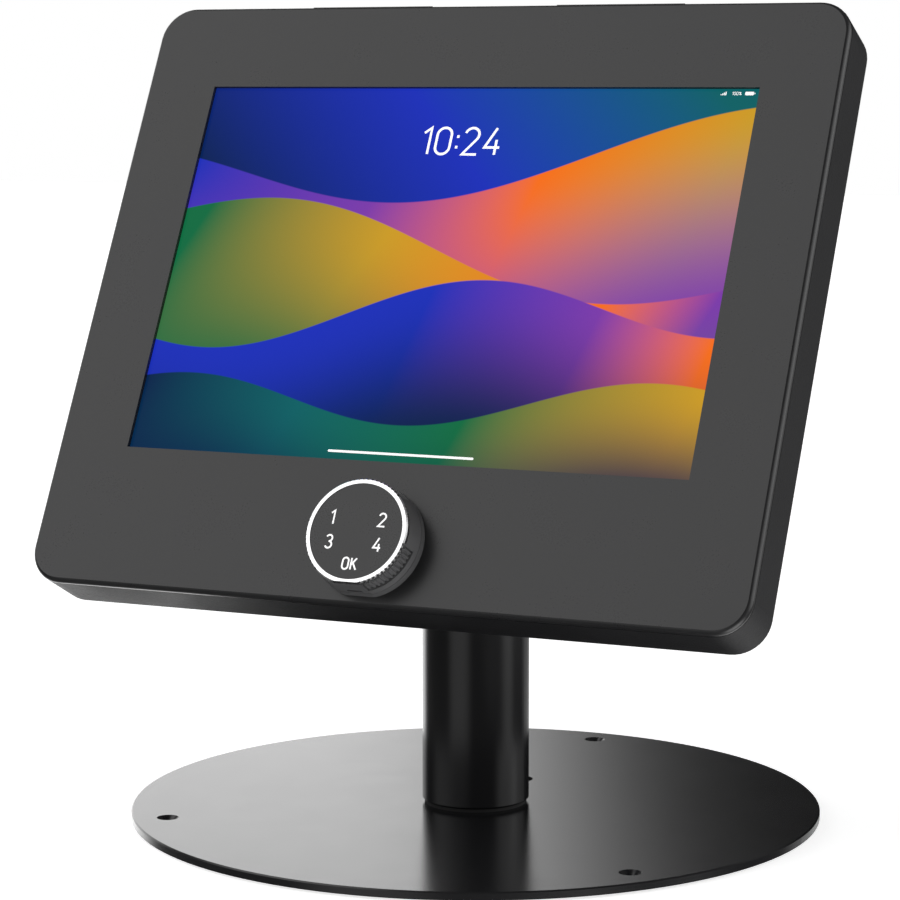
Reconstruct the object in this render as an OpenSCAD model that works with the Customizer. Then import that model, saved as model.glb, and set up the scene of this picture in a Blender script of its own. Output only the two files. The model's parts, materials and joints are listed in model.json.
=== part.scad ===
// Counter-top security stand for a tablet: round base, pole, tilting head and a lockable case.
// Millimetres, +Z up, origin under the middle of the base, screen facing -Y.

/* [Base] */
// Diameter of the steel base disc
base_d = 266; // [200:1:340]
// Thickness of the base disc
base_t = 3; // [2.5:0.1:8]
// Bevel round the top edge of the base disc
base_bevel = 0.5; // [0.2:0.1:1]
// Thickness of the rubber feet under the base
pad_t = 1; // [0.5:0.1:3]
// Diameter of the rubber feet
pad_d = 20; // [12:1:24]
// Distance from the base edge to the middle of the feet
pad_inset = 15; // [13:0.5:30]
// Number of rubber feet
pad_count = 6; // [6:6:12]
// Diameter of the three screw-down holes
mount_hole_d = 4.6; // [3:0.1:6]
// Diameter of their countersinks
mount_sink_d = 8.4; // [7:0.1:10]
// Distance from the base edge to the screw-down holes
mount_inset = 13; // [10:0.5:25]
// Angle of the two front holes below the cross axis
mount_front_angle = 38; // [25:0.5:60]
// Diameter of the cable hole behind the pole
cable_hole_d = 12; // [8:0.5:20]
// Distance from the pole to the middle of the cable hole
cable_hole_gap = 19.5; // [14:0.5:40]

/* [Pole] */
// Outside diameter of the pole
pole_d = 41.3; // [34:0.1:55]
// Wall of the pole tube
pole_wall = 2; // [1.5:0.1:3]
// Length of the pole tube
pole_len = 135.3; // [120:0.1:200]
// Bevel on the two ends of the pole tube
pole_bevel = 0.8; // [0.3:0.1:1.2]
// Thickness of the gasket under the pole
gasket_t = 1.2; // [0.8:0.1:3]
// How far the gasket stays inside the pole
gasket_inset = 0.9; // [0.3:0.1:1.5]
// Height of the plug in the foot of the pole
foot_h = 22; // [18:1:40]
// Thread diameter of the screws that hold the pole
pole_screw_d = 5; // [4:0.5:6]
// Depth of those screws in the plug
pole_screw_grip = 12; // [8:1:16]
// Distance from the plug's side to the screws
pole_screw_inset = 7; // [6:0.5:9]

/* [Tilt joint] */
// Lean of the screen from upright, as stored
tilt = 27; // [12:1:60]
// Height of the pivot above the pole
pivot_rise = 29; // [27:0.5:45]
// Distance from the pivot to the back of the case
pivot_to_back = 24.4; // [24:0.1:40]
// How far the pivot sits below the middle of the case
pivot_drop = 12.5; // [0:0.5:30]
// Thickness of the cap on the pole
cap_t = 5; // [4:0.5:8]
// Depth of the cap's spigot in the pole
spigot_h = 18; // [12:1:30]
// Thickness of the tongue
tongue_t = 16; // [10:1:22]
// Radius of the tongue's round end
tongue_r = 13; // [11:0.5:16]
// Thickness of each bracket ear
ear_t = 4; // [3:0.5:6]
// Radius of the ears' round ends
ear_r = 12; // [11:0.5:16]
// How much wider each ear is at its root
ear_flare = 8; // [4:0.5:14]
// Thickness of each friction washer
washer_t = 1; // [0.5:0.1:2]
// Diameter of the friction washers
washer_d = 22; // [18:0.5:24]
// Diameter of the pivot bolt
bolt_d = 8; // [6:0.5:9]
// Side of the square back plate of the bracket
bracket_w = 92; // [88:1:110]
// Thickness of the bracket's back plate
bracket_t = 3; // [2:0.5:5]
// Spacing of the bracket's four screws
bracket_pitch = 75; // [70:1:76]
// Thread diameter of the bracket screws
bracket_screw_d = 5; // [4:0.5:6]

/* [Case] */
// Width of the case
case_w = 288; // [250:1:340]
// Height of the case
case_h = 242; // [210:1:300]
// Depth of the closed case
case_depth = 25.4; // [25:0.1:40]
// Corner radius of the case seen from the front
corner_r = 13.5; // [8:0.5:20]
// Thickness of the case's sheet metal
sheet_t = 1.5; // [1.2:0.1:2]
// Rounding of the case's outer edges
edge_r = 2.4; // [0.5:0.1:2.5]
// Depth of the front cover's rim
rim_depth = 2.7; // [2.2:0.1:4]
// Gap between the cover's rim and the rear housing
seam = 0.4; // [0.3:0.1:1]
// Diameter of the cable grommet's hole
grommet_hole_d = 14; // [10:0.5:16]
// Distance from the bracket plate's side to the grommet's middle
grommet_gap = 19; // [17:0.5:40]

/* [Cover hinge] */
// Radius of the hinge knuckles
knuckle_r = 1.9; // [1.6:0.1:2.2]
// Diameter of the hinge pin
pin_d = 2; // [1.5:0.1:2.4]
// Distance from the case's sides to the ends of the hinge
hinge_inset = 14; // [14:1:40]
// Number of knuckles
knuckle_count = 5; // [3:2:9]
// Gap between neighbouring knuckles and in front of them
hinge_gap = 0.3; // [0.2:0.1:0.6]

/* [Tablet] */
// Distance from the case's sides to the tablet
tablet_side = 19.7; // [18:0.1:40]
// Distance from the case's top edge to the tablet
tablet_head = 21.45; // [18:0.05:40]
// Distance from the case's lower edge to the tablet
tablet_foot = 41.05; // [38:0.05:60]
// How far the cover laps over the tablet's two short sides
lap_side = 10.8; // [8:0.1:20]
// How far the cover laps over the tablet's two long sides
lap_end = 13.85; // [8:0.05:20]
// Thickness of the tablet
tablet_t = 7; // [5.5:0.1:9]
// Corner radius of the tablet
tablet_r = 18; // [10:0.5:22]
// Thickness of the tablet's glass
glass_t = 0.8; // [0.5:0.1:1.2]
// Wall of the tablet's metal shell
glass_edge = 0.9; // [0.6:0.1:1.5]
// Gap between the cover and the glass
glass_gap = 0.3; // [0.2:0.1:1]
// Length of the corner holders' arms
holder_arm = 30; // [24:1:40]
// Wall of the corner holders
holder_wall = 4; // [3:0.5:6]
// Side of the square foam pad behind the tablet
foam_w = 56; // [40:1:58]

/* [Lock] */
// Distance from the case's lower edge to the lock's middle
lock_rise = 23.7; // [23.5:0.1:27]
// Distance of the lock to the left of the middle
lock_shift = 3; // [0:0.5:10]
// Diameter of the lock's fixed flange
flange_d = 42; // [40:0.5:44]
// Thickness of the flange
flange_t = 3; // [2:0.5:5]
// Diameter of the knob
knob_d = 40; // [36:0.5:40]
// Height of the knob's front above the cover
knob_rise = 13.5; // [12:0.5:20]
// Width of the bright ring
ring_w = 1.9; // [1:0.1:3]
// Depth of the bright ring
ring_t = 2; // [1:0.1:3]
// Bevel on the bright ring's outer edge
ring_bevel = 0.5; // [0.1:0.1:0.6]
// Height of the ribs on the knob
rib_h = 0.6; // [0.3:0.1:1]
// Ribs in each of the knob's three grip zones
rib_count = 12; // [7:1:13]
// Angle between neighbouring ribs
rib_pitch = 5.2; // [4:0.1:5.6]
// Turn of the first grip zone from the cross axis
grip_angle = 78; // [70:1:90]
// Height of the smooth skirt behind the grip zones
skirt_h = 2.6; // [1.5:0.1:4]
// Depth of the flat under the knob and flange
chin_depth = 0.9; // [0.5:0.1:1.5]
// Slope of that flat, which follows the knob's taper
chin_draft = 4.5; // [0:0.5:6]
// Width of the port in the flat
port_w = 6; // [4:0.5:8]
// Height of the port
port_h = 1.4; // [1:0.1:2.5]
// Diameter of the lock barrel
barrel_d = 19; // [16:0.5:19.5]
// Diameter of the lock spindle
spindle_d = 8; // [6:0.5:10]
// Thickness of the lock nut
lock_nut_t = 4; // [3:0.5:6]
// Thickness of the cam
cam_t = 2.5; // [2:0.1:3]
// Width of the cam
cam_w = 12; // [10:0.5:14]
// Thread diameter of the cam screw
cam_screw_d = 4; // [3:0.5:5]

/* [Hidden] */
$fn = 96;
// Clearances and allowances
run = 0.05;            // shaft in its bore
drill = 0.1;           // screw or barrel in its hole, on the radius
washer_gap = 0.05;     // washer to tongue
cam_gap = 0.3;         // barrel to cam, and knob to flange
strike_gap = 1.3;      // cam to the strike's lip
strike_clear = 1.2;    // strike to the barrel and to the cam's tip
back_clear = 1.5;      // cam screw to the housing's back
holder_clear = 0.25;   // tablet to its corner holders
hinge_sweep = 0.3;     // cover's top edge to the housing as it swings
past = 1;              // cutters reach this far past a face
lap = 2;               // folded walls reach this far into the flat sheets

// Heights on the stand
plate_z = pad_t;
plate_top = plate_z + base_t;
pole_z = plate_top + gasket_t;
pole_top = pole_z + pole_len;
pivot_z = pole_top + pivot_rise;

// Places on the base, measured from its middle
mount_r = base_d / 2 - mount_inset;
mount_angles = [90, -mount_front_angle, 180 + mount_front_angle];
cable_y = pole_d / 2 + cable_hole_gap;
plug_d = pole_d - 2 * pole_wall;
pole_screw_r = plug_d / 2 - pole_screw_inset;
pole_screw_head_d = 1.9 * pole_screw_d;

// Depths inside the case, measured from the cover's face
edge = min(edge_r, 1.7 * sheet_t, rim_depth);
glass_z = -(sheet_t + glass_gap);
tablet_back_z = glass_z - tablet_t;
floor_z = -(case_depth - sheet_t);
seam_z = -(rim_depth + seam);
pivot_back_z = -(case_depth + pivot_to_back);

// Tablet, and the window in front of it
tablet_w = case_w - 2 * tablet_side;
tablet_h = case_h - tablet_head - tablet_foot;
tablet_rise = (tablet_foot - tablet_head) / 2;
window_w = tablet_w - 2 * lap_side;
window_h = tablet_h - 2 * lap_end;

// Grommet beside the bracket
grommet_x = bracket_w / 2 + grommet_gap;
grommet_neck_d = grommet_hole_d + 4 * sheet_t;

// Hinge axis, just behind the cover's sheet and below its top edge
hinge_y = case_h / 2 - knuckle_r - hinge_gap;
hinge_z = -(sheet_t + hinge_gap + knuckle_r);
hinge_len = case_w - 2 * hinge_inset;
knuckle_pitch = hinge_len / knuckle_count;
relief_r = hinge_sweep + norm([case_h / 2 - edge - hinge_y, hinge_z]);
relief_drop = corner_r - (case_h / 2 - hinge_y);
relief_end = sqrt(corner_r * corner_r - relief_drop * relief_drop);
relief_len = case_w - 2 * corner_r + 2 * (relief_end + hinge_sweep);

// Lock and strike
lock_x = -lock_shift;
lock_y = lock_rise - case_h / 2;
cam_screw_head_h = 0.6 * cam_screw_d;
cam_z = floor_z + back_clear + cam_screw_head_h;
barrel_z = cam_z + cam_t + cam_gap;
knob_z = flange_t + cam_gap;
knob_body_h = knob_rise - knob_z - ring_t;
strike_z = cam_z + cam_t + strike_gap;
strike_floor_y = -case_h / 2 + 2 * sheet_t;
strike_top_y = lock_y - barrel_d / 2 - strike_clear;
cam_reach = lock_y - strike_floor_y - strike_clear;
keypad_d = knob_d - 2 * ring_w;
grip_angles = [grip_angle, grip_angle + 120, grip_angle + 240];

// Tilt hardware, measured from the middle
ear_in = tongue_t / 2 + washer_gap + washer_t;
ear_out = ear_in + ear_t;
bolt_head_h = 0.55 * bolt_d;
bolt_head_d = 1.75 * bolt_d;
nut_h = 0.8 * bolt_d;
nut_d = 1.85 * bolt_d;

// Shared placing and shapes

// Places the head's own frame: x right, y up the screen, z out of the cover's face
module on_head() {
    translate([0, 0, pivot_z])
        rotate([90 - tilt, 0, 0])
            translate([0, pivot_drop, -pivot_back_z])
                children();
}

module at_lock() {
    on_head()
        translate([lock_x, lock_y, 0])
            children();
}

module at_bracket_screws() {
    for (x = [-1, 1], y = [-1, 1])
        translate([x * bracket_pitch / 2, y * bracket_pitch / 2 - pivot_drop, 0])
            children();
}

module at_base_holes() {
    for (a = mount_angles)
        rotate([0, 0, a])
            translate([mount_r, 0, 0])
                children();
}

module at_pole_screws() {
    for (a = [90, 210, 330])
        rotate([0, 0, a])
            translate([pole_screw_r, 0, 0])
                children();
}

module rounded_rect(w, h, r) {
    square([w - 2 * r, h], center = true);
    square([w, h - 2 * r], center = true);
    for (x = [-1, 1], y = [-1, 1])
        translate([x * (w / 2 - r), y * (h / 2 - r)])
            circle(r = r);
}

module rounded_slab(w, h, r, t) {
    linear_extrude(t)
        rounded_rect(w, h, r);
}

// Sweeps a section round the case's outline: section x is outward from the corner's centre, y is depth
module case_sweep() {
    for (m = [0, 1])
        mirror([m, 0, 0])
            translate([case_w / 2 - corner_r, 0, 0])
                rotate([90, 0, 0])
                    linear_extrude(case_h - 2 * corner_r, center = true)
                        children();
    for (m = [0, 1])
        mirror([0, m, 0])
            translate([0, case_h / 2 - corner_r, 0])
                rotate([90, 0, 90])
                    linear_extrude(case_w - 2 * corner_r, center = true)
                        children();
    for (mx = [0, 1], my = [0, 1])
        mirror([mx, 0, 0])
            mirror([0, my, 0])
                translate([case_w / 2 - corner_r, case_h / 2 - corner_r, 0])
                    rotate_extrude(angle = 90)
                        children();
}

// What a rounded edge takes off a square corner at the origin, with the metal below and to the left
module edge_cut() {
    translate([-edge, -edge])
        difference() {
            square(edge + past);
            circle(r = edge);
        }
}

module cross_rod(r, length) {
    rotate([0, 90, 0])
        cylinder(r = r, h = length, center = true);
}

// A flat-head screw with its head's face at z = 0 and its shank going up
module flat_head_screw(d, head_d, length) {
    cylinder(d1 = head_d, d2 = d, h = (head_d - d) / 2);
    cylinder(d = d, h = length);
}

// Runs its children at every second knuckle place, from the given one on
module at_knuckles(first) {
    for (i = [first:2:knuckle_count - 1])
        translate([(i + 0.5) * knuckle_pitch - hinge_len / 2, hinge_y, hinge_z])
            children();
}

// Stand

module rubber_feet() {
    color("#1c1c1e")
        for (i = [0:pad_count - 1])
            rotate([0, 0, i * 360 / pad_count])
                translate([base_d / 2 - pad_inset, 0, 0])
                    cylinder(d = pad_d, h = pad_t);
}

module base_plate() {
    color("#2b2b2d")
        difference() {
            union() {
                translate([0, 0, plate_z])
                    cylinder(d = base_d, h = base_t - base_bevel);
                translate([0, 0, plate_top - base_bevel])
                    cylinder(d1 = base_d, d2 = base_d - 2 * base_bevel, h = base_bevel);
            }
            at_base_holes() {
                translate([0, 0, -past])
                    cylinder(d = mount_hole_d, h = plate_top + 2 * past);
                translate([0, 0, plate_top - (mount_sink_d - mount_hole_d) / 2])
                    cylinder(d1 = mount_hole_d, d2 = mount_sink_d, h = (mount_sink_d - mount_hole_d) / 2);
            }
            translate([0, cable_y, -past])
                cylinder(d = cable_hole_d, h = plate_top + 2 * past);
            at_pole_screws()
                translate([0, 0, plate_z])
                    flat_head_screw(pole_screw_d, pole_screw_head_d, base_t + past);
        }
}

module pole_gasket() {
    color("#101011")
        difference() {
            translate([0, 0, plate_top])
                cylinder(d = pole_d - 2 * gasket_inset, h = gasket_t);
            at_pole_screws()
                translate([0, 0, plate_top - past])
                    cylinder(d = pole_screw_d, h = gasket_t + 2 * past);
        }
}

module pole() {
    color("#29292b")
        translate([0, 0, pole_z])
            rotate_extrude()
                translate([plug_d / 2, 0])
                    polygon([[0, 0], [pole_wall - pole_bevel, 0], [pole_wall, pole_bevel],
                        [pole_wall, pole_len - pole_bevel / 2], [pole_wall - pole_bevel / 2, pole_len],
                        [0, pole_len]]);
}

module pole_foot() {
    color("#77787a")
        difference() {
            translate([0, 0, pole_z])
                cylinder(d = plug_d, h = foot_h);
            at_pole_screws()
                translate([0, 0, pole_z - past])
                    cylinder(d = pole_screw_d, h = pole_screw_grip + past);
        }
}

module pole_screws() {
    color("#8d8e90")
        at_pole_screws()
            translate([0, 0, plate_z])
                flat_head_screw(pole_screw_d, pole_screw_head_d, base_t + gasket_t + pole_screw_grip);
}

module tilt_post() {
    color("#29292b")
        difference() {
            union() {
                translate([0, 0, pole_top - spigot_h])
                    cylinder(d = plug_d, h = spigot_h);
                translate([0, 0, pole_top])
                    cylinder(d = pole_d, h = cap_t - pole_bevel);
                translate([0, 0, pole_top + cap_t - pole_bevel])
                    cylinder(d1 = pole_d, d2 = pole_d - 2 * pole_bevel, h = pole_bevel);
                translate([0, 0, pivot_z])
                    rotate([90, 0, 90])
                        linear_extrude(tongue_t, center = true) {
                            circle(r = tongue_r);
                            translate([-tongue_r, cap_t - pivot_rise - past])
                                square([2 * tongue_r, pivot_rise - cap_t + past]);
                        }
            }
            translate([0, 0, pivot_z])
                cross_rod(bolt_d / 2 + run, tongue_t + 2 * past);
        }
}

// Tilting head: bracket and its hardware

module tilt_bolt() {
    color("#8d8e90")
        translate([0, 0, pivot_z])
            rotate([0, 90, 0])
                difference() {
                    union() {
                        translate([0, 0, -ear_out - nut_h])
                            cylinder(d = bolt_d, h = 2 * ear_out + nut_h);
                        translate([0, 0, ear_out])
                            cylinder(d = bolt_head_d, h = bolt_head_h);
                    }
                    translate([0, 0, ear_out + bolt_head_h / 2])
                        cylinder(d = 0.7 * bolt_d, h = bolt_head_h, $fn = 6);
                }
}

module tilt_nut() {
    color("#8d8e90")
        translate([-ear_out - nut_h, 0, pivot_z])
            rotate([0, 90, 0])
                difference() {
                    cylinder(d = nut_d, h = nut_h, $fn = 6);
                    translate([0, 0, -past])
                        cylinder(d = bolt_d, h = nut_h + 2 * past);
                }
}

module friction_washers() {
    color("#d8d4c8")
        translate([0, 0, pivot_z])
            for (side = [-1, 1])
                translate([side * (ear_in - washer_t / 2), 0, 0])
                    difference() {
                        cross_rod(washer_d / 2, washer_t);
                        cross_rod(bolt_d / 2, washer_t + 2 * past);
                    }
}

// Side view of an ear, in the head's y and z, with the pivot at the origin
module ear_outline() {
    root_y = pivot_to_back - bracket_t / 2;
    circle(r = ear_r);
    polygon([[-ear_r, 0], [ear_r, 0], [ear_r + ear_flare, root_y], [-ear_r - ear_flare, root_y]]);
}

module head_bracket() {
    color("#29292b")
        on_head()
            difference() {
                union() {
                    translate([0, -pivot_drop, -case_depth - bracket_t])
                        rounded_slab(bracket_w, bracket_w, corner_r / 2, bracket_t);
                    for (side = [-1, 1])
                        translate([side * (ear_in + ear_t / 2), -pivot_drop, pivot_back_z])
                            rotate([90, 0, 90])
                                linear_extrude(ear_t, center = true)
                                    ear_outline();
                }
                translate([0, -pivot_drop, pivot_back_z])
                    cross_rod(bolt_d / 2, 2 * ear_out + 2 * past);
                at_bracket_screws()
                    translate([0, 0, -case_depth - bracket_t - past])
                        cylinder(r = bracket_screw_d / 2 + drill, h = bracket_t + 2 * past);
            }
}

module bracket_screws() {
    color("#8d8e90")
        on_head()
            at_bracket_screws() {
                translate([0, 0, -case_depth - bracket_t - bracket_screw_d / 2])
                    cylinder(d = 1.8 * bracket_screw_d, h = bracket_screw_d / 2);
                translate([0, 0, -case_depth - bracket_t - past / 2])
                    cylinder(d = bracket_screw_d, h = bracket_t + sheet_t + bracket_screw_d + past);
            }
}

module bracket_nuts() {
    color("#8d8e90")
        on_head()
            at_bracket_screws()
                translate([0, 0, floor_z])
                    difference() {
                        cylinder(d = 1.85 * bracket_screw_d, h = 0.8 * bracket_screw_d, $fn = 6);
                        translate([0, 0, -past])
                            cylinder(d = bracket_screw_d, h = bracket_screw_d + 2 * past);
                    }
}

// Tilting head: rear housing and what it holds

module housing_section() {
    difference() {
        union() {
            translate([corner_r - sheet_t, -case_depth])
                square([sheet_t, case_depth + seam_z]);
            translate([corner_r - sheet_t - lap, -case_depth])
                square([sheet_t + lap, sheet_t]);
        }
        translate([corner_r, -case_depth])
            mirror([0, 1])
                edge_cut();
    }
}

module housing_knuckles() {
    width = knuckle_pitch - hinge_gap;
    foot = relief_r + sheet_t;
    at_knuckles(0) {
        cross_rod(knuckle_r, width);
        translate([-width / 2, -knuckle_r, -foot - sheet_t])
            cube([width, knuckle_r, foot + sheet_t]);
        translate([-width / 2, -knuckle_r, -foot - sheet_t])
            cube([width, case_h / 2 - sheet_t / 2 - hinge_y + knuckle_r, sheet_t]);
    }
}

module rear_housing() {
    color("#2e2e30")
        on_head()
            difference() {
                union() {
                    difference() {
                        union() {
                            case_sweep()
                                housing_section();
                            translate([0, 0, -case_depth])
                                rounded_slab(case_w - 2 * sheet_t, case_h - 2 * sheet_t,
                                    corner_r - sheet_t, sheet_t);
                        }
                        translate([0, hinge_y, hinge_z])
                            cross_rod(relief_r, relief_len);
                    }
                    housing_knuckles();
                }
                translate([0, hinge_y, hinge_z])
                    cross_rod(pin_d / 2, hinge_len + 2 * past);
                at_bracket_screws()
                    translate([0, 0, -case_depth - past])
                        cylinder(r = bracket_screw_d / 2 + drill, h = sheet_t + 2 * past);
                translate([grommet_x, -pivot_drop, -case_depth - past])
                    cylinder(d = grommet_neck_d, h = sheet_t + 2 * past);
            }
}

module hinge_pin() {
    color("#a5a6a8")
        on_head()
            translate([0, hinge_y, hinge_z])
                cross_rod(pin_d / 2, hinge_len);
}

module cable_grommet() {
    lip = 2 * sheet_t;
    color("#151516")
        on_head()
            translate([grommet_x, -pivot_drop, -case_depth])
                difference() {
                    union() {
                        translate([0, 0, -sheet_t])
                            cylinder(d = grommet_neck_d + 2 * lip, h = sheet_t);
                        cylinder(d = grommet_neck_d, h = sheet_t);
                        translate([0, 0, sheet_t])
                            cylinder(d = grommet_neck_d + 2 * lip, h = sheet_t);
                    }
                    translate([0, 0, -sheet_t - past])
                        cylinder(d = grommet_hole_d, h = 3 * sheet_t + 2 * past);
                }
}

module corner_holders() {
    reach = holder_wall + holder_clear;
    color("#3a3a3c")
        on_head()
            translate([0, tablet_rise, 0])
                for (mx = [0, 1], my = [0, 1])
                    mirror([mx, 0, 0])
                        mirror([0, my, 0])
                            difference() {
                                translate([tablet_w / 2 - holder_arm, tablet_h / 2 - holder_arm, floor_z])
                                    cube([holder_arm + reach, holder_arm + reach, glass_z - glass_t - floor_z]);
                                translate([0, 0, tablet_back_z])
                                    rounded_slab(tablet_w + 2 * holder_clear, tablet_h + 2 * holder_clear,
                                        tablet_r + holder_clear, tablet_t + past);
                                translate([0, 0, floor_z - past])
                                    rounded_slab(tablet_w - 2 * holder_wall, tablet_h - 2 * holder_wall,
                                        tablet_r - holder_wall, tablet_back_z - floor_z + 2 * past);
                            }
}

module foam_pad() {
    color("#4a4a4c")
        on_head()
            translate([-foam_w / 2, -pivot_drop - foam_w / 2, floor_z])
                cube([foam_w, foam_w, tablet_back_z - floor_z]);
}

module tablet_case() {
    color("#b9babd")
        on_head()
            translate([0, tablet_rise, 0])
                difference() {
                    translate([0, 0, tablet_back_z])
                        rounded_slab(tablet_w, tablet_h, tablet_r, tablet_t);
                    translate([0, 0, tablet_back_z + glass_edge])
                        rounded_slab(tablet_w - 2 * glass_edge, tablet_h - 2 * glass_edge,
                            tablet_r - glass_edge, tablet_t + past);
                }
}

// Battery and board, filling the tablet's shell
module tablet_core() {
    color("#2a3a34")
        on_head()
            translate([0, tablet_rise, tablet_back_z + glass_edge])
                rounded_slab(tablet_w - 2 * glass_edge, tablet_h - 2 * glass_edge,
                    tablet_r - glass_edge, tablet_t - glass_edge - glass_t);
}

module tablet_glass() {
    color("#1d2a5c")
        on_head()
            translate([0, tablet_rise, glass_z - glass_t])
                rounded_slab(tablet_w - 2 * glass_edge, tablet_h - 2 * glass_edge,
                    tablet_r - glass_edge, glass_t);
}

module lock_strike() {
    color("#8d8e90")
        at_lock()
            translate([-cam_w, strike_floor_y - sheet_t - lock_y, 0]) {
                translate([0, 0, floor_z])
                    cube([2 * cam_w, sheet_t, strike_z + sheet_t - floor_z]);
                translate([0, 0, strike_z])
                    cube([2 * cam_w, strike_top_y - strike_floor_y + sheet_t, sheet_t]);
            }
}

// Front cover and its lock

module cover_section() {
    difference() {
        union() {
            translate([corner_r - sheet_t, -rim_depth])
                square([sheet_t, rim_depth]);
            translate([corner_r - sheet_t - lap, -sheet_t])
                square([sheet_t + lap, sheet_t]);
        }
        translate([corner_r, 0])
            edge_cut();
    }
}

module cover_knuckles() {
    width = knuckle_pitch - hinge_gap;
    at_knuckles(1) {
        cross_rod(knuckle_r, width);
        translate([-width / 2, -knuckle_r, 0])
            cube([width, 2 * knuckle_r, -hinge_z - sheet_t / 2]);
    }
}

module front_cover() {
    color("#353537")
        on_head()
            difference() {
                union() {
                    difference() {
                        union() {
                            case_sweep()
                                cover_section();
                            translate([0, 0, -sheet_t])
                                rounded_slab(case_w - 2 * sheet_t, case_h - 2 * sheet_t,
                                    corner_r - sheet_t, sheet_t);
                        }
                        translate([-case_w / 2, hinge_y - knuckle_r - hinge_gap, -case_depth])
                            cube([case_w, case_h, case_depth - sheet_t]);
                    }
                    cover_knuckles();
                }
                translate([-window_w / 2, tablet_rise - window_h / 2, -sheet_t - past])
                    cube([window_w, window_h, sheet_t + 2 * past]);
                translate([lock_x, lock_y, -sheet_t - past])
                    cylinder(r = barrel_d / 2 + drill, h = sheet_t + 2 * past);
                translate([0, hinge_y, hinge_z])
                    cross_rod(pin_d / 2 + run, hinge_len + 2 * past);
            }
}

// The flat under the lock, sloped from the flange to the ring
module chin_cut() {
    translate([0, chin_depth - flange_d / 2, 0])
        rotate([-chin_draft, 0, 0])
            translate([-flange_d / 2, -flange_d, -past])
                cube([flange_d, flange_d, knob_rise + 3 * past]);
}

module lock_body() {
    color("#333335")
        at_lock()
            difference() {
                union() {
                    cylinder(d = flange_d, h = flange_t);
                    translate([0, 0, barrel_z])
                        cylinder(d = barrel_d, h = -barrel_z);
                }
                chin_cut();
                translate([0, 0, barrel_z - past])
                    cylinder(r = spindle_d / 2 + run, h = flange_t - barrel_z + 2 * past);
            }
}

module lock_nut() {
    color("#8d8e90")
        at_lock()
            translate([0, 0, -sheet_t - lock_nut_t])
                difference() {
                    cylinder(d = 1.3 * barrel_d, h = lock_nut_t, $fn = 6);
                    translate([0, 0, -past])
                        cylinder(d = barrel_d, h = lock_nut_t + 2 * past);
                }
}

// Recesses in the knob's side, with the skirt left as a ledge behind them
module grip_zones() {
    span = rib_count * rib_pitch;
    for (a = grip_angles)
        rotate([0, 0, a - span / 2])
            rotate_extrude(angle = span)
                translate([knob_d / 2 - rib_h, skirt_h])
                    square([flange_d, knob_body_h]);
}

module ribs() {
    for (a = grip_angles, i = [0:rib_count - 1])
        rotate([0, 0, a + (i - (rib_count - 1) / 2) * rib_pitch])
            translate([knob_d / 2 - rib_h, 0, skirt_h / 2])
                cylinder(r = rib_h, h = knob_body_h - skirt_h / 2, $fn = 24);
}

module lock_knob() {
    color("#2f2f31")
        at_lock()
            translate([0, 0, knob_z])
                difference() {
                    union() {
                        difference() {
                            cylinder(d1 = flange_d, d2 = knob_d, h = knob_body_h);
                            grip_zones();
                        }
                        ribs();
                        cylinder(d = keypad_d, h = knob_body_h + 3 / 8 * ring_t);
                    }
                    translate([0, 0, -knob_z])
                        chin_cut();
                    translate([-port_w / 2, -flange_d / 2, port_h / 2])
                        cube([port_w, 2 * chin_depth + port_h, port_h]);
                    translate([0, 0, -past])
                        cylinder(d = spindle_d, h = knob_body_h / 2 + past);
                }
}

// Notches in the bright ring, which carry the gaps between the ribs on to the front
module ring_notches() {
    for (a = grip_angles, i = [0:rib_count])
        rotate([0, 0, a + (i - rib_count / 2) * rib_pitch])
            translate([knob_d / 2, 0, -past])
                cylinder(r = rib_h, h = ring_t + 2 * past, $fn = 24);
}

module lock_trim_ring() {
    color("#d9dadc")
        at_lock()
            difference() {
                translate([0, 0, knob_rise - ring_t])
                    difference() {
                        rotate_extrude()
                            translate([keypad_d / 2, 0])
                                polygon([[0, 0], [ring_w, 0], [ring_w, ring_t - ring_bevel],
                                    [ring_w - ring_bevel, ring_t], [0, ring_t]]);
                        ring_notches();
                    }
                chin_cut();
            }
}

module keypad_face() {
    color("#3b3b3d")
        at_lock()
            translate([0, 0, knob_rise - 5 / 8 * ring_t])
                cylinder(d = keypad_d, h = ring_t / 2);
}

module lock_spindle() {
    color("#a5a6a8")
        at_lock()
            difference() {
                translate([0, 0, cam_z + cam_t])
                    cylinder(d = spindle_d, h = knob_z + knob_body_h / 2 - cam_z - cam_t);
                translate([0, 0, cam_z])
                    cylinder(d = cam_screw_d, h = cam_t + 2 * cam_screw_d);
            }
}

module lock_cam() {
    color("#a5a6a8")
        at_lock()
            translate([0, 0, cam_z])
                difference() {
                    linear_extrude(cam_t) {
                        circle(d = cam_w);
                        translate([0, -cam_w / 2])
                            square([cam_reach, cam_w]);
                    }
                    translate([0, 0, -past])
                        cylinder(d = cam_screw_d, h = cam_t + 2 * past);
                }
}

module cam_screw() {
    color("#8d8e90")
        at_lock()
            translate([0, 0, cam_z - cam_screw_head_h]) {
                cylinder(d = 1.8 * cam_screw_d, h = cam_screw_head_h);
                cylinder(d = cam_screw_d, h = cam_screw_head_h + cam_t + 2 * cam_screw_d);
            }
}

rubber_feet();
base_plate();
pole_gasket();
pole();
pole_foot();
pole_screws();
tilt_post();
tilt_bolt();
tilt_nut();
friction_washers();
head_bracket();
bracket_screws();
bracket_nuts();
rear_housing();
hinge_pin();
cable_grommet();
corner_holders();
foam_pad();
tablet_case();
tablet_core();
tablet_glass();
lock_strike();
front_cover();
lock_body();
lock_nut();
lock_knob();
lock_trim_ring();
keypad_face();
lock_spindle();
lock_cam();
cam_screw();
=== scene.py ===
"""Looks of a tablet security kiosk stand: finishes, screen picture, key legends, light and camera."""
import json
from math import cos, pi, radians, sin

import bmesh
import bpy
from mathutils import Matrix, Vector


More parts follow.
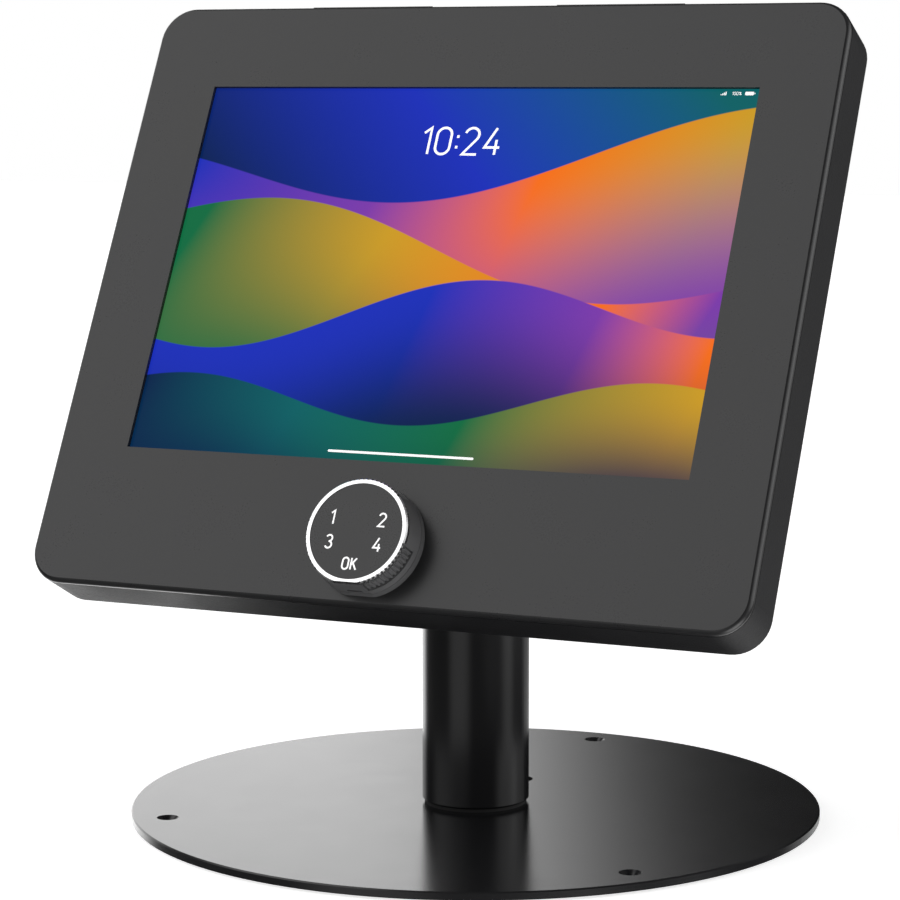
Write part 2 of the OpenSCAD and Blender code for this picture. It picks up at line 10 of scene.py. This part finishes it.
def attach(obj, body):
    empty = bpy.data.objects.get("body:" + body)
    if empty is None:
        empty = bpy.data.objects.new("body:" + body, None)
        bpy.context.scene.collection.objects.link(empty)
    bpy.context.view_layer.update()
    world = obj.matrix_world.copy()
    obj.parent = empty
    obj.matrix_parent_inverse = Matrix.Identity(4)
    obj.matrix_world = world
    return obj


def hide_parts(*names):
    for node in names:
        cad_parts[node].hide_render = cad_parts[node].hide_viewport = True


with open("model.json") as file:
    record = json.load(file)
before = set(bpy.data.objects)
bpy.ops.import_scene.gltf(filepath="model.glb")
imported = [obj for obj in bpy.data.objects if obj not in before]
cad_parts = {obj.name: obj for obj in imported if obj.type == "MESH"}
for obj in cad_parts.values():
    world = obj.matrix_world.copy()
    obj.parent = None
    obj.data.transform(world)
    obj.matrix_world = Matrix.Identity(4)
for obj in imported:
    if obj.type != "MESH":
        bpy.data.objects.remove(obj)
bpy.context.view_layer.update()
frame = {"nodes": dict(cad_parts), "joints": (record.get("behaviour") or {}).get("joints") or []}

MM = 0.001
NODES = frame["nodes"]
JOINTS = {joint["name"]: joint for joint in frame["joints"]}

# Axes of the case: across its face, up its slope, and out of its face along the lock's axis
RIGHT = Vector((1, 0, 0))
OUT = -Vector(JOINTS["lock_turn"]["axis"]).normalized()
UP = OUT.cross(RIGHT)

# Screen and the marks on it, in millimetres; places are across and up from the screen's middle
SCREEN_W = 227.0
SCREEN_H = 157.4
SCREEN_CORNER = 1.5
SCREEN_T = 0.06
INK_T = 0.05
CLOCK_H = 12.0
CLOCK_STROKE = 1.0
CLOCK_AT = (-2.0, 54.0)
HOME_BAR_W = 59.0
HOME_BAR_H = 0.9
HOME_BAR_CORNER = 0.44
HOME_BAR_AT = (0.0, -72.2)
STATUS_RISE = 74.2
BATTERY_W = 3.4
BATTERY_H = 1.4
BATTERY_CORNER = 0.4
BATTERY_AT = (109.3, STATUS_RISE)
BATTERY_TIP_W = 0.3
BATTERY_TIP_H = 0.6
BATTERY_TIP_CORNER = 0.1
BATTERY_TIP_REACH = 0.35
CHARGE_STROKE = 0.16
CHARGE_AT = (104.4, STATUS_RISE)
SIGNAL_BARS = 4
SIGNAL_BAR_W = 0.4
SIGNAL_BAR_CORNER = 0.08
SIGNAL_PITCH = 0.6
SIGNAL_AT = (98.4, STATUS_RISE)

# Colours of the screen picture, linear
NAVY = (0.002, 0.016, 0.070)
ROYAL = (0.012, 0.030, 0.480)
TEAL = (0.004, 0.120, 0.130)
GREEN = (0.006, 0.150, 0.055)
GOLD = (0.600, 0.330, 0.020)
ORANGE = (0.930, 0.160, 0.010)
PURPLE = (0.200, 0.045, 0.400)
WHITE = (0.95, 0.95, 0.95)
# The white marks glow: the screen's own light on the screen, and a painted glow on the keypad's legends
MARK_GLOW = 0.7

# Hills of the screen picture from the farthest to the nearest, in parts of the screen's width and height
HILLS = (
    {"height": 0.74, "rise": 0.10, "swell": 0.10, "waves": 0.8, "phase": 2.6, "lean": 0.25, "fall": 0.55,
     "colours": ((0.0, ROYAL), (0.35, PURPLE), (0.65, ORANGE), (1.0, GOLD)), "foot": PURPLE},
    {"height": 0.62, "rise": -0.12, "swell": 0.09, "waves": 0.9, "phase": 0.4, "lean": 0.35, "fall": 0.50,
     "colours": ((0.05, GREEN), (0.4, GOLD), (0.8, ORANGE), (1.0, PURPLE)), "foot": GREEN},
    {"height": 0.36, "rise": 0.08, "swell": 0.08, "waves": 1.1, "phase": 3.9, "lean": 0.20, "fall": 0.40,
     "colours": ((0.0, ROYAL), (0.5, ROYAL), (0.8, PURPLE), (1.0, ORANGE)), "foot": NAVY},
    {"height": 0.16, "rise": 0.03, "swell": 0.06, "waves": 1.2, "phase": 1.0, "lean": 0.30, "fall": 0.30,
     "colours": ((0.0, NAVY), (0.3, TEAL), (0.6, GREEN), (1.0, GOLD)), "foot": NAVY},
)
RIDGE_SOFTNESS = 0.004

# Sky above the hills: its colours run along a line with these shares across and up
SKY = ((0.30, NAVY), (0.62, ROYAL), (0.95, TEAL))
SKY_ACROSS = 0.6
SKY_UP = 0.4

# Legends on the lock's keypad: name, text, height, and millimetres across and up from the knob's middle
LEGENDS = (
    ("legend_one", "1", 5.7, -10.5, 4.7),
    ("legend_two", "2", 5.5, 9.4, 4.8),
    ("legend_three", "3", 5.5, -9.9, -4.5),
    ("legend_four", "4", 5.7, 9.4, -4.5),
    ("legend_enter", "OK", 4.9, 0.1, -12.2),
)
LEGEND_STROKE = 0.62

# Steps that an arc and a round corner are drawn in, and the least cosine of a mitred corner
ARC_STEPS = 14
CORNER_STEPS = 6
LEAST_MITRE = 0.5


def arc(x, y, radius, start, end):
    """Points of a circular arc from one angle to another, in degrees."""
    turns = [radians(start + (end - start) * step / ARC_STEPS) for step in range(ARC_STEPS + 1)]
    return [(x + radius * cos(turn), y + radius * sin(turn)) for turn in turns]


# Characters of height 1 as strokes; a stroke that ends where it begins is a loop
LOOP = arc(0.27, 0.73, 0.27, 0, 180) + arc(0.27, 0.27, 0.27, 180, 360) + [(0.54, 0.73)]
STROKES = {
    "0": [LOOP],
    "1": [[(0.0, 0.80), (0.24, 1.0), (0.24, 0.0)]],
    "2": [arc(0.26, 0.74, 0.26, 165, -42) + [(0.0, 0.0), (0.54, 0.0)]],
    "3": [arc(0.25, 0.76, 0.24, 155, -90) + arc(0.25, 0.26, 0.26, 90, -155)],
    "4": [[(0.36, 1.0), (0.0, 0.27), (0.56, 0.27)], [(0.41, 0.56), (0.41, 0.0)]],
    "O": [LOOP],
    "%": [arc(0.15, 0.80, 0.15, 0, 360), arc(0.55, 0.20, 0.15, 0, 360), [(0.15, 0.0), (0.55, 1.0)]],
    "K": [[(0.0, 0.0), (0.0, 1.0)], [(0.46, 1.0), (0.0, 0.42)], [(0.15, 0.60), (0.50, 0.0)]],
    ":": [[(0.0, 0.22), (0.0, 0.32)], [(0.0, 0.62), (0.0, 0.72)]],
}
LETTER_GAP = 0.26


# Geometry helpers

def span(node, axis):
    """Lowest and highest place of a CAD node's vertices along an axis."""
    reach = [vertex.co.dot(axis) for vertex in NODES[node].data.vertices]
    return min(reach), max(reach)


def middle(node, axis):
    """Place halfway along a CAD node's span."""
    low, high = span(node, axis)
    return (low + high) / 2


def on_face(across, up_slope, out):
    """Matrix of a frame parallel to the case's face, with its origin at that place along the axes."""
    place = Matrix((RIGHT, UP, OUT)).transposed().to_4x4()
    place.translation = RIGHT * across + UP * up_slope + OUT * out
    return place


def rounded_rect(width, height, radius, centre=(0, 0)):
    """Outline of a rectangle with round corners, anticlockwise."""
    points = []
    for corner, (side, end) in enumerate(((1, 1), (-1, 1), (-1, -1), (1, -1))):
        for step in range(CORNER_STEPS + 1):
            angle = (corner + step / CORNER_STEPS) * pi / 2
            points.append((
                centre[0] + side * (width / 2 - radius) + radius * cos(angle),
                centre[1] + end * (height / 2 - radius) + radius * sin(angle),
            ))
    return points


def finished(name, mesh):
    """The object of a bmesh, in the scene."""
    bmesh.ops.recalc_face_normals(mesh, faces=mesh.faces)
    data = bpy.data.meshes.new(name)
    mesh.to_mesh(data)
    mesh.free()
    piece = bpy.data.objects.new(name, data)
    bpy.context.scene.collection.objects.link(piece)
    return piece


def lofted(name, *stacks):
    """Closed solids, each a stack of (outline, height) in millimetres, with outlines of equal length."""
    mesh = bmesh.new()
    for stack in stacks:
        rings = [[mesh.verts.new((x * MM, y * MM, z * MM)) for x, y in outline] for outline, z in stack]
        for lower, upper in zip(rings, rings[1:]):
            for i, start in enumerate(lower):
                j = (i + 1) % len(lower)
                mesh.faces.new((start, lower[j], upper[j], upper[i]))
        mesh.faces.new(list(reversed(rings[0])))
        mesh.faces.new(rings[-1])
    return finished(name, mesh)


def plate(outline, thickness):
    """Stack of a flat plate, for lofted()."""
    return [(outline, 0), (outline, thickness)]


def ribbon(mesh, points, width):
    """Adds a flat closed band along points, in millimetres, with mitred corners."""
    loop = points[0] == points[-1]
    path = [Vector(point) for point in (points[:-1] if loop else points)]
    rows = []
    for i, point in enumerate(path):
        before = path[i - 1] if loop or i else point
        after = path[(i + 1) % len(path)] if loop or i < len(path) - 1 else point
        along = ((point - before).normalized() + (after - point).normalized()).normalized()
        run = (after - point if after != point else point - before).normalized()
        side = Vector((-along.y, along.x)) * width / 2 / max(along.dot(run), LEAST_MITRE)
        edges = [point + side, point - side]
        rows.append([
            mesh.verts.new((edge.x * MM, edge.y * MM, z * MM)) for z in (0, INK_T) for edge in edges
        ])
    for first, last in zip(rows, rows[1:] + rows[:1] if loop else rows[1:]):
        for i, j in ((0, 1), (1, 3), (3, 2), (2, 0)):
            mesh.faces.new((first[i], first[j], last[j], last[i]))
    if not loop:
        for row in (rows[0], rows[-1]):
            mesh.faces.new((row[0], row[1], row[3], row[2]))


def lettering(name, text, height, stroke):
    """Flat characters about the origin, of that height and stroke width in millimetres."""
    lines = []
    start = 0.0
    for character in text:
        lines += [[(start + x, y) for x, y in line] for line in STROKES[character]]
        start += max(x for line in STROKES[character] for x, y in line) + LETTER_GAP
    shift = (start - LETTER_GAP) / 2
    rise = height - stroke
    mesh = bmesh.new()
    for line in lines:
        ribbon(mesh, [((x - shift) * rise, (y - 0.5) * rise) for x, y in line], stroke)
    return finished(name, mesh)


def dress(piece, material, body, place):
    """Puts a new piece in its place, with its finish, on the body that carries it."""
    piece.matrix_world = place
    piece.data.materials.append(material)
    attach(piece, body)


# Material helpers

# A finish drifts over this many grains, and its colour and roughness run between these levels of the blend
DRIFT_GRAINS = 30
BLEND_LOW = 0.3
BLEND_HIGH = 0.7
NOISE_DETAIL = 3.0


def add(tree, kind, values=(), **settings):
    """A new shader node: settings are its properties, and values its inputs, each a constant or a socket."""
    made = tree.nodes.new("ShaderNode" + kind)
    for key, value in settings.items():
        setattr(made, key, value)
    for key, value in dict(values).items():
        if isinstance(value, bpy.types.NodeSocket):
            tree.links.new(value, made.inputs[key])
        else:
            made.inputs[key].default_value = value
    return made


def compute(tree, operation, *values):
    """Result of a Math node on constants or sockets."""
    return add(tree, "Math", enumerate(values), operation=operation).outputs["Value"]


def mix(tree, factor, first, second):
    """Mix of two colour sockets or colours, by the colour sockets of Blender's Mix node."""
    return add(tree, "Mix", {0: factor, 6: first, 7: second}, data_type="RGBA").outputs[2]


def ramp(tree, value, stops):
    """Colour by value: stops is a list of (place, colour)."""
    made = add(tree, "ValToRGB", {"Fac": value})
    elements = made.color_ramp.elements
    while len(elements) < len(stops):
        elements.new(1)
    for element, (place, colour) in zip(elements, stops):
        element.position = place
        element.color = (*colour, 1)
    return made.outputs["Color"]


def smooth_step(tree, value, low, high, to_low=0.0, to_high=1.0):
    """Soft passage from to_low to to_high, while the value goes from low to high."""
    made = add(
        tree, "MapRange",
        {"Value": value, "From Min": low, "From Max": high, "To Min": to_low, "To Max": to_high},
        interpolation_type="SMOOTHSTEP",
    )
    return made.outputs["Result"]


def grain(tree, size, stretch=(1, 1, 1), cells=False):
    """Fine structure of that size in metres, drawn out along an axis where stretch is below 1."""
    place = add(tree, "TexCoord").outputs["Object"]
    place = add(tree, "Mapping", {"Vector": place, "Scale": stretch}).outputs["Vector"]
    if cells:
        return add(tree, "TexVoronoi", {"Vector": place, "Scale": 1 / size}).outputs["Distance"]
    return add(tree, "TexNoise", {"Vector": place, "Scale": 1 / size, "Detail": NOISE_DETAIL}).outputs["Fac"]


def finish(name, dark, light, rough, size, depth, metallic=0.0, specular=0.5, coat=0.0, **structure):
    """Surface of softly drifting colour and roughness, with a grain of that size and depth in metres."""
    material = bpy.data.materials.new(name)
    material.use_nodes = True
    tree = material.node_tree
    shader = tree.nodes["Principled BSDF"]
    drift = grain(tree, DRIFT_GRAINS * size)
    fine = grain(tree, size, **structure)
    blend = compute(tree, "MULTIPLY_ADD", fine, 0.5, compute(tree, "MULTIPLY", drift, 0.5))
    tree.links.new(ramp(tree, blend, ((BLEND_LOW, dark), (BLEND_HIGH, light))), shader.inputs["Base Color"])
    tree.links.new(smooth_step(tree, blend, BLEND_LOW, BLEND_HIGH, *rough), shader.inputs["Roughness"])
    raised = add(tree, "Bump", {"Height": fine, "Strength": 1.0, "Distance": depth})
    tree.links.new(raised.outputs["Normal"], shader.inputs["Normal"])
    shader.inputs["Metallic"].default_value = metallic
    shader.inputs["Specular IOR Level"].default_value = specular
    shader.inputs["Coat Weight"].default_value = coat
    return material


def hill(tree, picture, u, v, layer):
    """Lays one rolling hill over the picture: brightest along its ridge, and darker down its slope."""
    level = compute(tree, "MULTIPLY_ADD", u, layer["rise"], layer["height"])
    wave = compute(tree, "SINE", compute(tree, "MULTIPLY_ADD", u, 2 * pi * layer["waves"], layer["phase"]))
    below = compute(tree, "SUBTRACT", compute(tree, "MULTIPLY_ADD", wave, layer["swell"], level), v)
    lit = ramp(tree, compute(tree, "MULTIPLY_ADD", below, layer["lean"], u), layer["colours"])
    slope = mix(tree, smooth_step(tree, below, 0.0, layer["fall"]), lit, (*layer["foot"], 1))
    return mix(tree, smooth_step(tree, below, 0.0, RIDGE_SOFTNESS), picture, slope)


def screen_picture(name):
    """Lit screen with rolling hills under a blue sky, with hardly any gloss of its own."""
    material = finish(name, (0.002, 0.002, 0.002), (0.004, 0.004, 0.004), (0.12, 0.2), 0.5 * MM, 0.0,
                      specular=0.02)
    tree = material.node_tree
    place = add(tree, "SeparateXYZ", {"Vector": add(tree, "TexCoord").outputs["Object"]})
    u = compute(tree, "MULTIPLY_ADD", place.outputs["X"], 1 / (SCREEN_W * MM), 0.5)
    v = compute(tree, "MULTIPLY_ADD", place.outputs["Y"], 1 / (SCREEN_H * MM), 0.5)
    along = compute(tree, "MULTIPLY_ADD", u, SKY_ACROSS, compute(tree, "MULTIPLY", v, SKY_UP))
    picture = ramp(tree, along, SKY)
    for layer in HILLS:
        picture = hill(tree, picture, u, v, layer)
    shader = tree.nodes["Principled BSDF"]
    tree.links.new(picture, shader.inputs["Emission Color"])
    shader.inputs["Emission Strength"].default_value = 1.0
    return material


def lit_and_painted_glow_white(name):
    """White marks that glow: lit from behind on the screen, and a painted glow on the keypad's legends."""
    material = finish(name, (0.8, 0.8, 0.8), WHITE, (0.3, 0.4), 0.4 * MM, 0.0, specular=0.2)
    shader = material.node_tree.nodes["Principled BSDF"]
    shader.inputs["Emission Color"].default_value = (*WHITE, 1)
    shader.inputs["Emission Strength"].default_value = MARK_GLOW
    return material


# Finishes of the CAD nodes, by the record's slot
FINISHES = {
    "powder_coat": finish("powder_coat", (0.017, 0.017, 0.018), (0.024, 0.024, 0.025), (0.27, 0.31),
                          0.6 * MM, 0.008 * MM),
    "steel_hardware": finish("steel_hardware", (0.42, 0.42, 0.43), (0.62, 0.62, 0.63), (0.22, 0.38),
                             0.4 * MM, 0.01 * MM, metallic=1.0, stretch=(1, 1, 0.15)),
    "black_rubber": finish("black_rubber", (0.010, 0.010, 0.010), (0.022, 0.022, 0.022), (0.70, 0.85),
                           0.5 * MM, 0.04 * MM, specular=0.35),
    "nylon": finish("nylon", (0.62, 0.60, 0.54), (0.74, 0.72, 0.66), (0.40, 0.55), 0.6 * MM, 0.02 * MM),
    "holder_plastic": finish("holder_plastic", (0.014, 0.014, 0.015), (0.028, 0.028, 0.030), (0.50, 0.65),
                             0.35 * MM, 0.03 * MM),
    "foam": finish("foam", (0.035, 0.035, 0.038), (0.070, 0.070, 0.074), (0.90, 1.00),
                   1.1 * MM, 0.30 * MM, specular=0.2, cells=True),
    "tablet_shell": finish("tablet_shell", (0.30, 0.30, 0.32), (0.38, 0.38, 0.40), (0.34, 0.44),
                           0.12 * MM, 0.004 * MM, metallic=1.0),
    "tablet_inside": finish("tablet_inside", (0.008, 0.008, 0.009), (0.016, 0.016, 0.018), (0.50, 0.70),
                            0.8 * MM, 0.02 * MM),
    "screen_glass": finish("screen_glass", (0.003, 0.003, 0.003), (0.005, 0.005, 0.006), (0.04, 0.10),
                           2.0 * MM, 0.0, coat=0.6),
    "lock_plastic": finish("lock_plastic", (0.105, 0.105, 0.107), (0.130, 0.130, 0.133), (0.42, 0.54),
                           0.30 * MM, 0.010 * MM),
    "bright_ring": finish("bright_ring", (0.86, 0.86, 0.87), (0.95, 0.95, 0.95), (0.22, 0.32),
                          0.25 * MM, 0.003 * MM, metallic=1.0),
    "keypad_panel": finish("keypad_panel", (0.020, 0.020, 0.021), (0.025, 0.025, 0.026), (0.26, 0.32),
                           0.5 * MM, 0.002 * MM),
}
# Coats unlike their slot's: the housing is grainier than the cover, the base and pole are the smoothest,
# and the lock's flange is like its knob
GRAINED_COAT = finish("grained_coat", (0.011, 0.011, 0.012), (0.019, 0.019, 0.020), (0.50, 0.62),
                      0.9 * MM, 0.09 * MM, specular=0.17)
SATIN_COAT = finish("satin_coat", (0.011, 0.011, 0.012), (0.013, 0.013, 0.014), (0.20, 0.22),
                    0.6 * MM, 0.004 * MM)
SPECIAL_COATS = {
    "rear_housing": GRAINED_COAT,
    "head_bracket": GRAINED_COAT,
    "base_plate": SATIN_COAT,
    "pole": SATIN_COAT,
    "tilt_post": SATIN_COAT,
    "lock_body": FINISHES["lock_plastic"],
}

for name, piece in NODES.items():
    slot = piece.material_slots[0]
    slot.material = SPECIAL_COATS.get(name) or FINISHES[slot.material.name]

# Screen and what shows on it, just above the tablet's glass
glass_top = span("tablet_glass", OUT)[1]
screen_at = (middle("tablet_glass", RIGHT), middle("tablet_glass", UP))
ink_out = glass_top + SCREEN_T * MM
LIT_AND_PAINTED_GLOW_WHITE = lit_and_painted_glow_white("lit_and_painted_glow_white")


def on_screen(piece, across, up_slope):
    """Puts a white mark on the screen, in millimetres from its middle."""
    place = on_face(screen_at[0] + across * MM, screen_at[1] + up_slope * MM, ink_out)
    dress(piece, LIT_AND_PAINTED_GLOW_WHITE, "head", place)


display = lofted("screen_display", plate(rounded_rect(SCREEN_W, SCREEN_H, SCREEN_CORNER), SCREEN_T))
dress(display, screen_picture("screen_picture"), "head", on_face(*screen_at, glass_top))

on_screen(lettering("screen_clock", "10:24", CLOCK_H, CLOCK_STROKE), *CLOCK_AT)
home_bar = rounded_rect(HOME_BAR_W, HOME_BAR_H, HOME_BAR_CORNER)
on_screen(lofted("screen_home_bar", plate(home_bar, INK_T)), *HOME_BAR_AT)
battery_tip_at = (BATTERY_W / 2 + BATTERY_TIP_REACH, 0)
on_screen(lofted(
    "screen_battery",
    plate(rounded_rect(BATTERY_W, BATTERY_H, BATTERY_CORNER), INK_T),
    plate(rounded_rect(BATTERY_TIP_W, BATTERY_TIP_H, BATTERY_TIP_CORNER, battery_tip_at), INK_T),
), *BATTERY_AT)
on_screen(lettering("screen_charge", "100%", BATTERY_H, CHARGE_STROKE), *CHARGE_AT)
signal_stacks = []
for bar in range(SIGNAL_BARS):
    share = (bar + 1) / SIGNAL_BARS
    bar_at = (SIGNAL_PITCH * bar, BATTERY_H * (share - 1) / 2)
    outline = rounded_rect(SIGNAL_BAR_W, BATTERY_H * share, SIGNAL_BAR_CORNER, bar_at)
    signal_stacks.append(plate(outline, INK_T))
on_screen(lofted("screen_signal", *signal_stacks), *SIGNAL_AT)

# Legends on the lock's keypad: white print with a painted glow
lock_at = Vector(JOINTS["lock_turn"]["pos_m"])
keypad_top = span("keypad_face", OUT)[1]
for name, text, height, across, up_slope in LEGENDS:
    place = on_face(lock_at.dot(RIGHT) + across * MM, lock_at.dot(UP) + up_slope * MM, keypad_top)
    dress(lettering(name, text, height, LEGEND_STROKE), LIT_AND_PAINTED_GLOW_WHITE, "lock", place)

# Foam pad behind the tablet: its free sides bulge where it is pressed
pad_w, pad_h, pad_t = (
    (high - low) / MM for low, high in (span("foam_pad", axis) for axis in (RIGHT, UP, OUT))
)
PAD_BULGE = 1.2
PAD_CORNER = 4.0
PAD_LEVELS = 9
pad_stack = []
for level in range(PAD_LEVELS):
    part = level / (PAD_LEVELS - 1)
    inset = PAD_BULGE * (1 - sin(pi * part))
    pad_stack.append((rounded_rect(pad_w - 2 * inset, pad_h - 2 * inset, PAD_CORNER), pad_t * part))
pad = lofted("foam_cushion", pad_stack)
dress(pad, FINISHES["foam"], "head",
      on_face(middle("foam_pad", RIGHT), middle("foam_pad", UP), span("foam_pad", OUT)[0]))
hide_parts("foam_pad")

# Floor: it glows, and light from below the horizon passes through it to the part
FLOOR_HALF = 6.0
FLOOR_GLOW = 0.75
corners = [(x * FLOOR_HALF, y * FLOOR_HALF, 0) for x, y in ((-1, -1), (1, -1), (1, 1), (-1, 1))]
floor_mesh = bpy.data.meshes.new("floor")
floor_mesh.from_pydata(corners, [], [(0, 1, 2, 3)])
floor = bpy.data.objects.new("floor", floor_mesh)
bpy.context.scene.collection.objects.link(floor)
floor_finish = finish("floor_paper", (0.82, 0.82, 0.82), (0.86, 0.86, 0.86), (0.8, 0.9), 2.0 * MM, 0.0,
                      specular=0.1)
floor_shader = floor_finish.node_tree.nodes["Principled BSDF"]
floor_shader.inputs["Emission Color"].default_value = (1, 1, 1, 1)
floor_shader.inputs["Emission Strength"].default_value = FLOOR_GLOW
floor_mesh.materials.append(floor_finish)
floor.visible_glossy = False
floor.visible_diffuse = False
floor.visible_shadow = False

# Studio light: dim all round, with soft boxes as (direction, full within, gone beyond, level), in degrees
AMBIENT = 0.11
SOFT_BOXES = (
    ((-0.60, -0.50, 0.62), 22, 38, 1.45),
    ((0.95, 0.15, 0.28), 14, 34, 1.60),
    ((0.43, 0.90, -0.07), 5, 14, 0.35),
    ((0.76, 0.60, 0.25), 10, 28, 0.90),
    ((-0.18, -0.98, -0.05), 10, 30, 0.55),
    ((0.00, 0.65, -0.76), 20, 45, 1.60),
    ((0.60, -0.35, -0.72), 12, 32, 3.20),
)
# Wall low at the back: bright on the left of an edge that leans, and dark on the right. It fades in toward
# the back (Y) and out toward the top (Z)
WALL_FADE_IN = (0.2, 0.5)
WALL_FADE_OUT = (0.30, 0.55)
WALL_LEVEL = 1.95
WALL_DARK = -0.10
WALL_EDGE = Vector((0.8725, 0.443, -0.205)).normalized()
EDGE_SOFTNESS = 0.05

world = bpy.data.worlds.new("studio")
bpy.context.scene.world = world
world.use_nodes = True
tree = world.node_tree
toward = add(tree, "TexCoord").outputs["Generated"]


def facing(direction):
    """How far the ray looks along a direction: 1 straight along it, 0 at right angles."""
    return add(tree, "VectorMath", {0: toward, 1: direction}, operation="DOT_PRODUCT").outputs["Value"]


parts = add(tree, "SeparateXYZ", {"Vector": toward})
behind = smooth_step(tree, parts.outputs["Y"], *WALL_FADE_IN)
low = smooth_step(tree, parts.outputs["Z"], *WALL_FADE_OUT, 1.0, 0.0)
wall = smooth_step(tree, facing(WALL_EDGE), -EDGE_SOFTNESS, EDGE_SOFTNESS, WALL_LEVEL, WALL_DARK)
light = compute(tree, "MULTIPLY_ADD", compute(tree, "MULTIPLY", behind, low), wall, AMBIENT)
for direction, full, gone, strength in SOFT_BOXES:
    within = facing(Vector(direction).normalized())
    glow = smooth_step(tree, within, cos(radians(gone)), cos(radians(full)), 0.0, strength)
    light = compute(tree, "ADD", light, glow)
# The camera itself sees plain white
seen = add(tree, "LightPath").outputs["Is Camera Ray"]
light = compute(tree, "MULTIPLY_ADD", seen, compute(tree, "SUBTRACT", 1.0, light), light)
tree.links.new(light, tree.nodes["Background"].inputs["Strength"])
tree.nodes["Background"].inputs["Color"].default_value = (1, 1, 1, 1)

# Camera at the photograph's place, looking down and turned by these degrees
CAMERA_AT = (0.4810, -1.0363, 0.2823)
CAMERA_DOWN = 6.63
CAMERA_TURN = 24.90
CAMERA_LENS = 120.06
CAMERA_SENSOR = 36
CAMERA_SHIFT = (-0.0284, -0.0238)

camera = bpy.data.objects.new("camera", bpy.data.cameras.new("camera"))
bpy.context.scene.collection.objects.link(camera)
camera.location = CAMERA_AT
camera.rotation_euler = (radians(90 - CAMERA_DOWN), 0, radians(CAMERA_TURN))
camera.data.lens = CAMERA_LENS
camera.data.sensor_width = CAMERA_SENSOR
camera.data.shift_x, camera.data.shift_y = CAMERA_SHIFT
bpy.context.scene.camera = camera
bpy.context.scene.view_settings.view_transform = "Standard"
